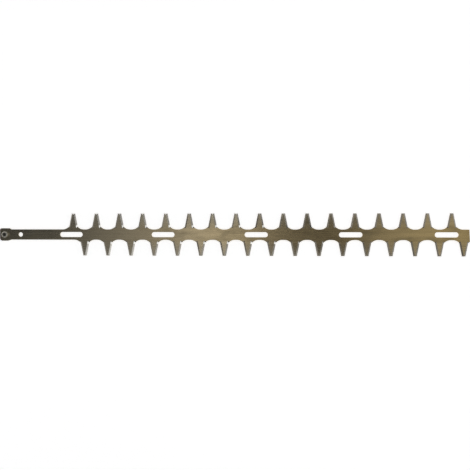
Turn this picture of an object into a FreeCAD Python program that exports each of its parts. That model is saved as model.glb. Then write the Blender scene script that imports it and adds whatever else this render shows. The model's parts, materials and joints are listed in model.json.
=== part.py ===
import FreeCAD, Part
import math
import os
import Sketcher

# Double-sided hedge trimmer blade: a stamped and ground toothed bar with a riveted drive pin.
# Sizes are millimetres. The origin is on the drive pin's axis, in the mating face that slides on the
# twin blade. +X runs to the blade's far end, +Y across the bar, +Z out of the bevelled face.

SIZES = {
    # sheet steel and bar
    "thickness": "2.5",
    "bar_width": "15.6",
    # widened head around the drive pin, measured from the pin's axis
    "head_height": "19.0",
    "head_nose": "9.1",
    "nose_radius_upper": "3.2",
    "nose_radius_lower": "4.2",
    "shoulder_upper": "6.6",
    "shoulder_run_upper": "1.8",
    "shoulder_lower": "3.4",
    "shoulder_run_lower": "5.6",
    "shoulder_radius": "1.5",
    # round hole in the tang
    "tang_hole_diameter": "6.6",
    "tang_hole_reach": "23.3",
    # guide slots
    "first_slot": "101.5",
    "slot_pitch": "140.0",
    "slot_length": "34.6",
    "slot_width": "7.6",
    "slot_end_wall": "6.0",
    # teeth, and the gullets punched between them
    "cutting_length": "600.0",
    "teeth_per_side": "17",
    "tooth_lead": "2.8",
    "tooth_length": "24.0",
    "tip_width": "5.2",
    "gullet_flat": "3.0",
    "gullet_radius": "13.0",
    "root_height": "4.2",
    # sheared far end, measured from the last lower tooth at the bar's lower edge
    "end_reach": "8.5",
    "end_skew": "0.8",
    # bevels ground on the outer face, and the slope where the wheel leaves the steel
    "edge_land": "0.3",
    "flank_bevel_width": "2.2",
    "tip_bevel_width": "1.6",
    "runout_length": "1.6",
    # drive pin
    "eye_diameter": "6.4",
    "rivet_clearance": "0.02",
    "countersink_depth": "0.9",
    "pin_diameter": "8.5",
    "pin_height": "6.0",
    "pin_chamfer": "0.6",
    "centre_mark_diameter": "1.9",
    "centre_mark_depth": "1.2",
    # how far a cutting tool reaches past the steel
    "overcut": "1.0",
}

# Formulas that several sketches share
HALF_BAR = "Size.bar_width / 2"
HALF_HEAD = "Size.head_height / 2"
TEETH = "round(Size.teeth_per_side)"
PITCH = f"Size.cutting_length / {TEETH}"
FIRST_UPPER = "Size.first_slot + Size.tooth_lead"
FIRST_LOWER = f"{FIRST_UPPER} + {PITCH} / 2"
LAST_UPPER = f"{FIRST_UPPER} + ({TEETH} - 1) * {PITCH}"
LAST_LOWER = f"{LAST_UPPER} + {PITCH} / 2"
TIP_LINE = f"{HALF_BAR} + Size.tooth_length"
ROOT_LINE = f"{HALF_BAR} + Size.root_height"
GULLET_REACH = "sqrt(Size.gullet_radius ^ 2 - (Size.gullet_radius - Size.root_height) ^ 2)"
ROUND_START = f"({PITCH} / 2 - Size.gullet_flat / 2)"
CORNER_HALF = f"({ROUND_START} - {GULLET_REACH})"
FLANK_RISE = "(Size.tooth_length - Size.root_height)"
FLANK_RUN = f"({CORNER_HALF} - Size.tip_width / 2)"
FLANK_LENGTH = f"sqrt({FLANK_RISE} ^ 2 + {FLANK_RUN} ^ 2)"
FLANK_LEAN = f"atan({FLANK_RUN} / {FLANK_RISE})"
FAR_END = f"{LAST_LOWER} + Size.end_reach"
SLOT_ROOM = f"({FAR_END} - Size.first_slot - Size.slot_length / 2 - Size.slot_end_wall)"
SLOTS = f"floor({SLOT_ROOM} / Size.slot_pitch) + 1"
BEVEL_HEIGHT = "(Size.thickness - Size.edge_land)"
RUNOUT_LEAN = f"atan(Size.runout_length / {BEVEL_HEIGHT})"

ORIGIN = -1
START, END, CENTRE = range(1, 4)
CUTS = ("PartDesign::Pocket", "PartDesign::Groove", "PartDesign::LinearPattern")

doc = FreeCAD.newDocument("hedge_trimmer_blade")


def driving_sheet():
    """The sheet of driving sizes, one alias a row."""
    sheet = doc.addObject("Spreadsheet::Sheet", "Size")
    for row, (name, value) in enumerate(SIZES.items(), start=1):
        sheet.set(f"A{row}", name)
        sheet.set(f"B{row}", value)
        sheet.setAlias(f"B{row}", name)
    doc.recompute()
    return sheet


def body_named(name):
    """An empty body whose label names its file."""
    body = doc.addObject("PartDesign::Body", name)
    body.Label = name
    body.Placement = FreeCAD.Placement()
    return body


def origin_item(body, role):
    """The body's own origin plane or axis with that role."""
    return next(item for item in body.Origin.OriginFeatures if item.Role == role)


def sketch_on(body, name, role):
    """An empty sketch flat on one of the body's origin planes."""
    sketch = body.newObject("Sketcher::SketchObject", name)
    sketch.AttachmentSupport = [(origin_item(body, role), "")]
    sketch.MapMode = "FlatFace"
    return sketch


def set_off(sketch, places):
    """Set a sketch off from its plane, each part of the offset by its own formula."""
    for place, formula in places.items():
        sketch.setExpression(f"AttachmentOffset.{place}", formula)


def constrain(sketch, formula, kind, *places):
    """A dimension of the sketch bound to a formula of the sheet."""
    index = sketch.addConstraint(Sketcher.Constraint(kind, *places, 1.0))
    sketch.setExpression(f"Constraints[{index}]", formula)


def hold_point(sketch, item, point, across, up):
    """Hold one point of an item at two formulas from the sketch's origin."""
    constrain(sketch, across, "DistanceX", ORIGIN, START, item, point)
    constrain(sketch, up, "DistanceY", ORIGIN, START, item, point)


def join(sketch, *pairs):
    """Close the end of each first item on the start of the second."""
    for first, second in pairs:
        sketch.addConstraint(Sketcher.Constraint("Coincident", first, END, second, START))


def straight_outline(sketch, corners):
    """A closed outline of straight lines, each corner held at its own two formulas."""
    count = len(corners)
    turn = 2 * math.pi / count
    ring = [FreeCAD.Vector(math.cos(turn * i), math.sin(turn * i), 0) for i in range(count)]
    for i in range(count):
        sketch.addGeometry(Part.LineSegment(ring[i], ring[(i + 1) % count]))
    for i, (across, up) in enumerate(corners):
        join(sketch, (i, (i + 1) % count))
        hold_point(sketch, i, START, across, up)


def bow(sketch, chord, depth):
    """Bow one side of a solved outline to its left by a depth; the side stays as a construction chord."""
    start = sketch.Geometry[chord].StartPoint
    end = sketch.Geometry[chord].EndPoint
    half = (end - start) / 2
    left = FreeCAD.Vector(-half.y, half.x, 0).normalize()
    item = sketch.addGeometry(Part.Arc(end, start + half + left * depth, start))
    sketch.toggleConstruction(chord)
    join(sketch, (item, chord), (chord, item))
    return item


def gullet_rounds(sketch, corners, sheet):
    """Bow each side of an outline that joins the bar's edge to a root corner; the steel is on its left."""
    doc.recompute()
    radius = sheet.gullet_radius
    for chord, ((_, here), (_, there)) in enumerate(zip(corners, corners[1:])):
        if {here, there} in ({HALF_BAR, ROOT_LINE}, {f"-{HALF_BAR}", f"-({ROOT_LINE})"}):
            half = sketch.Geometry[chord].length() / 2
            item = bow(sketch, chord, radius - math.sqrt(radius**2 - half**2))
            constrain(sketch, "Size.gullet_radius", "Radius", item)


def bored_circle(sketch, diameter, across):
    """One circle on the sketch's own X axis."""
    circle = sketch.addGeometry(Part.Circle(FreeCAD.Vector(), FreeCAD.Vector(0, 0, 1), 1.0))
    constrain(sketch, diameter, "Diameter", circle)
    hold_point(sketch, circle, CENTRE, across, "0")


def cut(body, name, sketch, length=None, along=None):
    """Pocket a sketch: right through both ways, or for a length away from its front or along a direction."""
    pocket = body.newObject("PartDesign::Pocket", name)
    pocket.Profile = sketch
    if length is None:
        pocket.Type = "ThroughAll"
        pocket.SideType = "Symmetric"
    else:
        pocket.setExpression("Length", length)
    if along is not None:
        pocket.UseCustomVector = True
        pocket.AlongSketchNormal = False
        for axis, formula in zip("xyz", along):
            pocket.setExpression(f"Direction.{axis}", formula)
    doc.recompute()
    return pocket


def repeat(body, name, features, count, spacing):
    """Repeat features along the blade."""
    pattern = body.newObject("PartDesign::LinearPattern", name)
    pattern.Originals = features
    pattern.Direction = (origin_item(body, "X_Axis"), [""])
    pattern.Mode = "Spacing"
    pattern.setExpression("Offset", spacing)
    pattern.setExpression("Occurrences", count)
    body.Tip = pattern
    doc.recompute()
    return pattern


def upright_edge(shape, across, up):
    """The name of the edge that runs through the sheet's thickness at one corner of the outline."""
    reach = 0.001
    for number, edge in enumerate(shape.Edges, start=1):
        if all(math.hypot(v.X - across, v.Y - up) < reach for v in edge.Vertexes):
            return f"Edge{number}"
    raise ValueError("no upright edge at that corner")


def round_corners(body, name, base, radius, corners):
    """Round upright corners of the blank."""
    fillet = body.newObject("PartDesign::Fillet", name)
    fillet.Base = (base, [upright_edge(base.Shape, across, up) for across, up in corners])
    fillet.setExpression("Radius", radius)
    doc.recompute()
    return fillet


def blank(body, sheet):
    """The sheared blank: head, bar and the two strips that the gullets are punched from.

    The strips end in the outer flanks of the first and last teeth, which no gullet cuts, and only the lower
    strip runs on to the far end.
    """
    profile = sketch_on(body, "blank_outline", "XY_Plane")
    corners = [
        (f"{FAR_END} + Size.end_skew * Size.tooth_length / Size.bar_width", f"-({TIP_LINE})"),
        (f"{FAR_END} - Size.end_skew", HALF_BAR),
        (f"{LAST_UPPER} + {ROUND_START}", HALF_BAR),
        (f"{LAST_UPPER} + {CORNER_HALF}", ROOT_LINE),
        (f"{LAST_UPPER} + Size.tip_width / 2", TIP_LINE),
        (f"{FIRST_UPPER} - Size.tip_width / 2", TIP_LINE),
        (f"{FIRST_UPPER} - {CORNER_HALF}", ROOT_LINE),
        (f"{FIRST_UPPER} - {ROUND_START}", HALF_BAR),
        ("Size.shoulder_upper + Size.shoulder_run_upper", HALF_BAR),
        ("Size.shoulder_upper", HALF_HEAD),
        ("-Size.head_nose", HALF_HEAD),
        ("-Size.head_nose", f"-{HALF_HEAD}"),
        ("Size.shoulder_lower", f"-{HALF_HEAD}"),
        ("Size.shoulder_lower + Size.shoulder_run_lower", f"-{HALF_BAR}"),
        (f"{FIRST_LOWER} - {ROUND_START}", f"-{HALF_BAR}"),
        (f"{FIRST_LOWER} - {CORNER_HALF}", f"-({ROOT_LINE})"),
        (f"{FIRST_LOWER} - Size.tip_width / 2", f"-({TIP_LINE})"),
    ]
    straight_outline(profile, corners)
    gullet_rounds(profile, corners, sheet)
    stock = body.newObject("PartDesign::Pad", "blank")
    stock.Profile = profile
    stock.setExpression("Length", "Size.thickness")
    doc.recompute()

    nose = -sheet.head_nose
    top = sheet.head_height / 2
    edge = sheet.bar_width / 2
    upper = sheet.shoulder_upper
    lower = sheet.shoulder_lower
    stock = round_corners(body, "nose_corner_upper", stock, "Size.nose_radius_upper", [(nose, top)])
    stock = round_corners(body, "nose_corner_lower", stock, "Size.nose_radius_lower", [(nose, -top)])
    shoulders = [
        (upper, top),
        (upper + sheet.shoulder_run_upper, edge),
        (lower, -top),
        (lower + sheet.shoulder_run_lower, -edge),
    ]
    round_corners(body, "shoulder_blends", stock, "Size.shoulder_radius", shoulders)


def gullet_outline(sketch, middle, sheet):
    """One gullet: a short flat with a round at each end, a corner at each root, and two straight flanks.

    The root corners are where the grinding of the flanks stops.
    """
    half = [
        ("Size.gullet_flat / 2", HALF_BAR),
        (f"(Size.gullet_flat / 2 + {GULLET_REACH})", ROOT_LINE),
        (f"({PITCH} / 2 - Size.tip_width / 2)", TIP_LINE),
        (f"({PITCH} / 2 - Size.tip_width / 2)", f"{TIP_LINE} + Size.overcut"),
    ]
    left = [(f"{middle} - {across}", up) for across, up in half]
    right = [(f"{middle} + {across}", up) for across, up in reversed(half)]
    straight_outline(sketch, left + right)
    gullet_rounds(sketch, left + right, sheet)


def bevel_wedge(sketch, toward, edge, width, reach, lean):
    """The wedge that a grinding wheel takes off one edge, in a section with its X axis in the edge's land.

    toward is the sign of that axis on the open side. edge, width and reach are formulas: the edge's place
    on the axis, the bevel's width, and how far past the edge the wheel goes. The section leans by lean.
    """
    slope = f"{BEVEL_HEIGHT} / {width}"
    outside = f"{toward} * ({edge} + {reach})"
    inside = f"{toward} * ({edge} - {width} - Size.overcut)"
    below = f"-({reach}) * {slope} / cos({lean})"
    above = f"({BEVEL_HEIGHT} + Size.overcut * {slope}) / cos({lean})"
    straight_outline(sketch, [(outside, below), (outside, above), (inside, above)])


def flank_bevel(body, name, side, flank, first):
    """Grind one flank from its root corner past the tip, with a slope at the root where the wheel runs out.

    side is the row's sign across the bar, and flank the flank's sign along it.
    """
    section = sketch_on(body, f"{name}_section", "XZ_Plane")
    set_off(
        section,
        {
            "Base.x": f"{first} + {flank} * {CORNER_HALF}",
            "Base.y": "Size.edge_land",
            "Base.z": f"{-side} * ({ROOT_LINE})",
            "Rotation.Pitch": f"{side * flank} * {FLANK_LEAN}",
            "Rotation.Roll": f"{side} * {RUNOUT_LEAN}",
        },
    )
    bevel_wedge(section, flank, "0", "Size.flank_bevel_width", "2 * Size.runout_length", RUNOUT_LEAN)
    length = f"{FLANK_LENGTH} + Size.runout_length + 2 * Size.overcut"
    toward_tip = (f"{-flank} * sin({FLANK_LEAN})", f"{side} * cos({FLANK_LEAN})", "0")
    return cut(body, name, section, length, toward_tip)


def tooth_row(body, row, sheet, side, first, gullets):
    """Punch the gullets of one edge, then grind both flanks and the tip of each tooth.

    side is 1 for the upper row and -1 for the lower, whose gullet is the upper one turned half round.
    """
    punch = sketch_on(body, f"{row}_gullet_outline", "XY_Plane")
    set_off(punch, {"Rotation.Yaw": "0 deg" if side > 0 else "180 deg"})
    gullet_outline(punch, f"{side} * ({first} + {PITCH} / 2)", sheet)
    gullet = cut(body, f"{row}_gullet", punch)
    repeat(body, f"{row}_gullets", [gullet], gullets, PITCH)

    right = flank_bevel(body, f"{row}_right_bevel", side, 1, first)
    left = flank_bevel(body, f"{row}_left_bevel", side, -1, first)
    section = sketch_on(body, f"{row}_tip_bevel_section", "YZ_Plane")
    set_off(section, {"Base.y": "Size.edge_land", "Base.z": f"{first} + {PITCH} / 4"})
    bevel_wedge(section, side, TIP_LINE, "Size.tip_bevel_width", "Size.overcut", "0 deg")
    tip = cut(body, f"{row}_tip_bevel", section, f"{PITCH} / 2")
    repeat(body, f"{row}_bevels", [right, left, tip], TEETH, PITCH)


def guide_slots(body, sheet):
    """Round-ended slots in line along the bar, for the guide bolts."""
    sketch = sketch_on(body, "slot_outline", "XY_Plane")
    left = "Size.first_slot - (Size.slot_length - Size.slot_width) / 2"
    right = "Size.first_slot + (Size.slot_length - Size.slot_width) / 2"
    top = "Size.slot_width / 2"
    straight_outline(sketch, [(left, f"-{top}"), (left, top), (right, top), (right, f"-{top}")])
    doc.recompute()
    for chord, middle in ((0, left), (2, right)):
        item = bow(sketch, chord, sheet.slot_width / 2)
        constrain(sketch, middle, "DistanceX", ORIGIN, START, item, CENTRE)
    slot = cut(body, "guide_slot", sketch)
    repeat(body, "guide_slots", [slot], SLOTS, "Size.slot_pitch")


def tang_hole(body):
    """The round hole in the tang, between the head and the first tooth."""
    sketch = sketch_on(body, "tang_hole_outline", "XY_Plane")
    bored_circle(sketch, "Size.tang_hole_diameter", "Size.tang_hole_reach")
    cut(body, "tang_hole", sketch)


def pin_eye(body):
    """The eye for the drive pin, countersunk in the mating face for the peened end."""
    sketch = sketch_on(body, "eye_section", "XZ_Plane")
    radius = "Size.eye_diameter / 2"
    mouth = f"{radius} + Size.countersink_depth + Size.overcut"
    straight_outline(
        sketch,
        [
            ("0", "-Size.overcut"),
            (mouth, "-Size.overcut"),
            (radius, "Size.countersink_depth"),
            (radius, "Size.thickness + Size.overcut"),
            ("0", "Size.thickness + Size.overcut"),
        ],
    )
    eye = body.newObject("PartDesign::Groove", "pin_eye")
    eye.Profile = sketch
    eye.ReferenceAxis = (sketch, ["V_Axis"])
    doc.recompute()


def blade(sheet):
    """The toothed bar: blank, gullets, ground bevels, guide slots, tang hole and pin eye."""
    body = body_named("blade")
    blank(body, sheet)
    tooth_row(body, "upper", sheet, 1, FIRST_UPPER, f"{TEETH} - 1")
    tooth_row(body, "lower", sheet, -1, FIRST_LOWER, TEETH)
    guide_slots(body, sheet)
    tang_hole(body)
    pin_eye(body)
    return body


def drive_pin():
    """The turned pin: chamfered journal on the outer face, and a shank peened into the eye's countersink."""
    body = body_named("drive_pin")
    sketch = sketch_on(body, "pin_section", "XZ_Plane")
    shank = "Size.eye_diameter / 2 - Size.rivet_clearance"
    journal = "Size.pin_diameter / 2"
    top = "Size.thickness + Size.pin_height"
    straight_outline(
        sketch,
        [
            ("0", "0"),
            (f"{shank} + Size.countersink_depth", "0"),
            (shank, "Size.countersink_depth"),
            (shank, "Size.thickness"),
            (journal, "Size.thickness"),
            (journal, f"{top} - Size.pin_chamfer"),
            (f"{journal} - Size.pin_chamfer", top),
            ("Size.centre_mark_diameter / 2", top),
            ("0", f"{top} - Size.centre_mark_depth"),
        ],
    )
    turned = body.newObject("PartDesign::Revolution", "turned_pin")
    turned.Profile = sketch
    turned.ReferenceAxis = (sketch, ["V_Axis"])
    doc.recompute()
    return body


def check(bodies):
    """Stop if any object of the document failed, or a body isn't one sound solid."""
    for item in doc.Objects:
        if "Invalid" in item.State or "Error" in item.State:
            raise RuntimeError(f"{item.Name} failed: {item.State}")
    for body in bodies:
        shape = body.Shape
        if shape.isNull() or not shape.isValid() or len(shape.Solids) != 1:
            raise RuntimeError(f"{body.Label} isn't one sound solid")
        for feature in body.Group:
            if feature.TypeId in CUTS and feature.Shape.Volume >= feature.BaseFeature.Shape.Volume:
                raise RuntimeError(f"{feature.Name} cuts nothing")


def main():
    sheet = driving_sheet()
    bodies = [blade(sheet), drive_pin()]
    doc.recompute()
    check(bodies)
    os.makedirs("parts", exist_ok=True)
    for body in bodies:
        body.Shape.exportStep(f"parts/{body.Label}.step")
        box = body.Shape.BoundBox
        print(body.Label, round(body.Shape.Volume, 1), box)


main()
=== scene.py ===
import json
import math

import bmesh
import bpy
from mathutils import Matrix, Vector

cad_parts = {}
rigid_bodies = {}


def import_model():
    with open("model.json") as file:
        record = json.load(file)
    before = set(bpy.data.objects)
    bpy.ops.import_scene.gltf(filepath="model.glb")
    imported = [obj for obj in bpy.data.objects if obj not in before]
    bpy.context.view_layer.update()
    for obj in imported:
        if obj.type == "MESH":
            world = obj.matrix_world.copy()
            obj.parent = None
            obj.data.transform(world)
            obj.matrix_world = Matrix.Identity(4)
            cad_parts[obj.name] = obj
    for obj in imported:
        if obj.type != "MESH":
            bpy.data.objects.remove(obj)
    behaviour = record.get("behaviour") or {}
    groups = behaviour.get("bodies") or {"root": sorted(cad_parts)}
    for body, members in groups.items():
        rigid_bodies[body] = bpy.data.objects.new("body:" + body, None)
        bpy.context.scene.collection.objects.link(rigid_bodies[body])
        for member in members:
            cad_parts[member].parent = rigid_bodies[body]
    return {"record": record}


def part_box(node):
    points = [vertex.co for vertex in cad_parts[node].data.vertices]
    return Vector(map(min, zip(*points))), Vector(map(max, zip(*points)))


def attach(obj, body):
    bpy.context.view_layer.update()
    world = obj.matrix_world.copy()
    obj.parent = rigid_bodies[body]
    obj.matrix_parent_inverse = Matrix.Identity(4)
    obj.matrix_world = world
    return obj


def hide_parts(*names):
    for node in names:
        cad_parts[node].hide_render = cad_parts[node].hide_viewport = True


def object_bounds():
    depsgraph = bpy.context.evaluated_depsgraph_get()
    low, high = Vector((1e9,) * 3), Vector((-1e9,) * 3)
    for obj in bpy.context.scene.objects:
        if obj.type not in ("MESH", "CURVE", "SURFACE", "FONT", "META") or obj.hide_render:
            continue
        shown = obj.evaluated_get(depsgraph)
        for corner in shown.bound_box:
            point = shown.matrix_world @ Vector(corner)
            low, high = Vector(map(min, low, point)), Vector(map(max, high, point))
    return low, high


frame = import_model()

bl_info = {
    "name": "Hedge trimmer blade",
    "version": (1, 0, 0),
    "blender": (4, 5, 0),
    "location": "3D View > Sidebar > Blade",
    "description": "A double-sided hedge trimmer blade: toothed, bevel-ground bar and riveted drive pin",
    "category": "Object",
}

CAD_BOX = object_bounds()
BLADE_LOW, BLADE_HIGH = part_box("blade")
PIN_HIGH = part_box("drive_pin")[1]
MOUNTS = {mount["name"]: mount for mount in frame["record"]["mounts"]}
GUIDE_SLOT = MOUNTS["guide_slots_outer"]["dims"]
TANG_HOLE = MOUNTS["tang_hole"]
MM = 0.001
# Points nearer to each other than this are one
WELD = 1e-6
# Side of the photograph's frame in pixels
IMAGE_SIDE = 470
WHITE = (1.0, 1.0, 1.0, 1.0)

# Facets along each kind of round wall
CORNER_STEPS = 8
GULLET_STEPS = 10
RUNOUT_STEPS = 4
SLOT_END_STEPS = 20
TANG_HOLE_STEPS = 48
EYE_STEPS = 64
PIN_CORNER_STEPS = 4
# Edges sharper than these angles are deburred on the blade, and stay sharp in the pin's shading
DEBURRED_ANGLE = math.radians(25)
SHARP_ANGLE = math.radians(28)

# How far each grinding's flank bevel, tip bevel and run-out differ, in shares of the hand grinding
GRINDINGS = ((0.0, 0.0, 0.0), (0.5, -1.0, 1.5), (-0.5, 0.6, -1.2), (0.2, 1.0, 2.4))
# What the lower row adds to the seed, so that its grindings are drawn apart
LOWER_SEED = 3.0

# Patterns in the steel: their stretch along each axis, their detail and their roughness
FINE_LINES = ((26.0, 3100.0, 900.0), 5.0, 0.62)
STREAKS = ((5.0, 460.0, 200.0), 3.0, 0.55)
OIL_PATCHES = ((34.0, 70.0, 60.0), 4.0, 0.6)
WHEEL_MARKS = ((2300.0, 90.0, 1.0), 4.0, 0.6)
LATHE_RINGS = ((5200.0, 5200.0, 1.0), 3.0, 0.55)
PIN_WEAR = ((420.0, 420.0, 420.0), 4.0, 0.6)
# What the patterns do: the values that they go from, then the shares or shades that they go to
FILM_SHARE = (0.50, 0.74, 0.0, 0.42)
STREAK_SHADE = (0.25, 0.75, 0.84, 1.12)
FINE_SHADE = (0.2, 0.8, 0.90, 1.10)
WHEEL_SHADE = (0.2, 0.8, 0.82, 1.14)
TOOTH_SHADE = (0.0, 1.0, 0.80, 1.12)
RING_SHADE = (0.25, 0.75, 0.78, 1.12)
WEAR_SHADE = (0.3, 0.7, 0.85, 1.08)
FINE_ROUGHNESS = (0.2, 0.8, -0.06, 0.08)
FILM_ROUGHNESS = (0.4, 0.7, 0.0, 0.07)
WHEEL_ROUGHNESS = (0.2, 0.8, -0.10, 0.06)
RING_ROUGHNESS = (0.2, 0.8, -0.05, 0.10)
# Painted shade about the pin's centre mark and painted light outside it: the shades that they go to
PAINTED_CENTRE_SHADE_RING_LIGHT = (0.30, 1.45)
BLADE_RELIEF = {"Strength": 0.30, "Distance": 0.02 * MM}
PIN_RELIEF = {"Strength": 0.35, "Distance": 0.03 * MM}
# Shares of the bar's length where the steel has the tang's, the middle's and the far end's tint
TINT_STOPS = (0.05, 0.45, 1.0)
# How far the tips are rubbed clean, from half way along the bar to its far end
RUBBED_SHARE = (0.5, 1.0, 0.70, 0.35)
# Share of the row over which a bevel keeps its painted highlight: a factor of its painted light, and an
# offset
PAINTED_HIGHLIGHT_KEPT = (0.60, -0.08)
# How the painted highlight fades in the next share of the row
PAINTED_HIGHLIGHT_LOSS = (0.0, 0.15, 1.0, 0.0)
# Painted light above which a bevel is the rounded lower end of a flank, which carries a painted glint
SCOOPED = 0.9
# Share of the row over which those ends go from their first lean to their last
SCOOP_REACH = 0.6

# The floor lies just under the mating face
FLOOR_DROP = 0.2 * MM
# Heights of the surround, as the sine of the elevation, between which its pale foot fades
COVE_FADE = (0.06, 0.20)
# Lamps: the name, the setting of the output, the place, the point that is lit, the width and the height
SOFT_BOX_SPOTS = ((1.35, 1.0, 1.2), (-0.65, 1.0, 1.2), (-0.65, -1.0, 1.2), (1.35, -1.0, 1.2))
SOFT_BOXES = [
    (f"soft_box_{number}", "soft_boxes", spot, (0.35, 0.0, 0.0), 1.4, 1.4)
    for number, spot in enumerate(SOFT_BOX_SPOTS, 1)
]
LAMPS = (
    ("panel_head", "panel_head", (-0.03, 0.0, 1.25), (0.10, 0.0, 0.0), 0.27, 0.5),
    ("panel_left", "panel_left", (0.218, 0.0, 1.25), (0.30, 0.0, 0.0), 0.215, 0.5),
    ("panel_right", "panel_right", (0.90, 0.0, 1.25), (0.60, 0.0, 0.0), 0.44, 0.5),
    ("back_panel", "back_panel", (1.0, 1.6, 0.42), (0.0, 0.0, 0.0), 0.5, 0.9),
    *SOFT_BOXES,
    ("far_panel", "far_panel", (1.7, -0.2, 0.42), (0.20, 0.0, 0.0), 0.5, 1.3),
    ("near_panel", "near_panel", (-1.0, 0.0, 0.35), (0.50, 0.0, 0.0), 0.5, 1.0),
)


def length(name, description, default):
    """A size in metres that a user may change."""
    return bpy.props.FloatProperty(
        name=name, description=description, default=default, precision=5, subtype="DISTANCE", unit="LENGTH"
    )


def colour(name, description, default):
    """A colour that a user may change."""
    return bpy.props.FloatVectorProperty(
        name=name, description=description, default=default, min=0.0, max=1.0, size=3, subtype="COLOR"
    )


def factor(name, description, default):
    """A share from none to all that a user may change."""
    return bpy.props.FloatProperty(
        name=name, description=description, default=default, min=0.0, max=1.0, subtype="FACTOR"
    )


def count(name, description, default, least):
    """A whole number that a user may change."""
    return bpy.props.IntProperty(name=name, description=description, default=default, min=least)


def place(name, description, default):
    """A point in the blade's frame that a user may change."""
    return bpy.props.FloatVectorProperty(
        name=name, description=description, default=default, size=3, subtype="XYZ", unit="LENGTH"
    )


def brightness(name, description, default):
    """A brightness that a user may change."""
    return bpy.props.FloatProperty(name=name, description=description, default=default, min=0.0)


def power(name, description, default):
    """A lamp's output that a user may change."""
    return bpy.props.FloatProperty(
        name=name, description=description, default=default, min=0.0, unit="POWER"
    )


class BladeSizes(bpy.types.PropertyGroup):
    """Sizes of the toothed bar."""

    thickness: length("Thickness", "Thickness of the sheet steel", BLADE_HIGH.z)
    bar_width: length("Bar width", "Width of the plain bar between the rows of teeth", 15.6 * MM)
    head_height: length("Head height", "Width of the head round the drive pin", 19.0 * MM)
    head_nose: length("Head nose", "From the pin's axis to the end of the head", -BLADE_LOW.x)
    nose_radius_upper: length("Upper nose radius", "Round on the head's upper corner", 3.2 * MM)
    nose_radius_lower: length("Lower nose radius", "Round on the head's lower corner", 4.2 * MM)
    shoulder_upper: length("Upper shoulder", "From the pin's axis to the upper shoulder", 6.6 * MM)
    shoulder_run_upper: length("Upper shoulder run", "Length of the upper shoulder's slope", 1.8 * MM)
    shoulder_lower: length("Lower shoulder", "From the pin's axis to the lower shoulder", 3.4 * MM)
    shoulder_run_lower: length("Lower shoulder run", "Length of the lower shoulder's slope", 5.6 * MM)
    shoulder_radius: length("Shoulder radius", "Round on the shoulders' corners", 1.5 * MM)
    teeth: count("Teeth a side", "Teeth along each edge", 17, 2)
    cutting_length: length("Cutting length", "Length of each row of teeth", 600.0 * MM)
    first_tooth: length("First tooth", "From the pin's axis to the first upper tooth's middle", 104.3 * MM)
    tooth_length: length("Tooth length", "From the bar's edge to the tooth's tip", 24.0 * MM)
    tip_width: length("Tip width", "Width of a tooth at its tip", 5.2 * MM)
    gullet_flat: length("Gullet flat", "Straight floor of a gullet", 3.0 * MM)
    gullet_radius: length("Gullet radius", "Round at each end of a gullet's floor", 13.0 * MM)
    root_height: length("Root height", "From the bar's edge to where the flank's grinding stops", 4.2 * MM)
    edge_land: length("Edge land", "Upright land left under the bevels", 0.3 * MM)
    flank_bevel: length("Flank bevel", "Width of the bevel ground on a flank", 2.2 * MM)
    tip_bevel: length("Tip bevel", "Width of the bevel ground on a tip", 1.6 * MM)
    runout: length("Run-out", "Length of the slope where the wheel leaves the steel", 1.6 * MM)
    hand_grinding: factor("Hand grinding", "How much the bevels differ from tooth to tooth", 0.12)
    end_reach: length("End reach", "From the last lower tooth to the sheared end", 8.5 * MM)
    end_skew: length("End skew", "How far the sheared end leans across the bar", 0.8 * MM)
    slots: count("Guide slots", "Slots along the bar", 5, 1)
    first_slot: length("First slot", "From the pin's axis to the middle of the first slot", 101.5 * MM)
    slot_pitch: length("Slot pitch", "From slot to slot", 140.0 * MM)
    slot_length: length("Slot length", "Length of a slot over its ends", GUIDE_SLOT["slot_length_mm"] * MM)
    slot_radius: length("Slot radius", "Radius of a slot's ends", GUIDE_SLOT["hole_r_mm"] * MM)
    tang_hole_reach: length("Tang hole reach", "From the pin's axis to the tang hole", TANG_HOLE["pos_m"][0])
    tang_hole_radius: length("Tang hole radius", "Radius of the tang hole", TANG_HOLE["dims"]["r_mm"] * MM)
    eye_radius: length("Eye radius", "Radius of the eye that holds the pin", 3.2 * MM)
    countersink: length("Countersink", "Depth and width of the eye's countersink", 0.9 * MM)
    deburr: length("Deburred edge", "Width of the broken edges", 0.045 * MM)
    # Where the painted glints lie: the middle of each tip bevel and the lower end of each flank
    painted_glint_tip: length("Bright tip", "Half width of the bright middle of a tip bevel", 0.9 * MM)
    painted_glint_root: length("Bright root", "Length of the lower end of a flank that the wheel rounds", 2.2 * MM)


class PinSizes(bpy.types.PropertyGroup):
    """Sizes of the turned drive pin."""

    radius: length("Radius", "Radius of the journal", PIN_HIGH.x)
    top: length("Top", "Height of the journal's end over the mating face", PIN_HIGH.z)
    seat: length("Seat", "Height of the face that the journal's shoulder seats on", BLADE_HIGH.z)
    shank_radius: length("Shank radius", "Radius of the shank in the eye", 3.18 * MM)
    peened_depth: length("Peened depth", "Depth of the peened end in the countersink", 0.9 * MM)
    chamfer: length("Chamfer", "Chamfer at the journal's end", 0.6 * MM)
    mark_radius: length("Centre mark radius", "Radius of the lathe centre's mark", 0.95 * MM)
    mark_depth: length("Centre mark depth", "Depth of the lathe centre's mark", 1.2 * MM)
    rounding: length("Rounding", "Round on the turned corners", 0.12 * MM)
    facets: count("Facets", "Facets round the pin", 96, 16)


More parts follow.
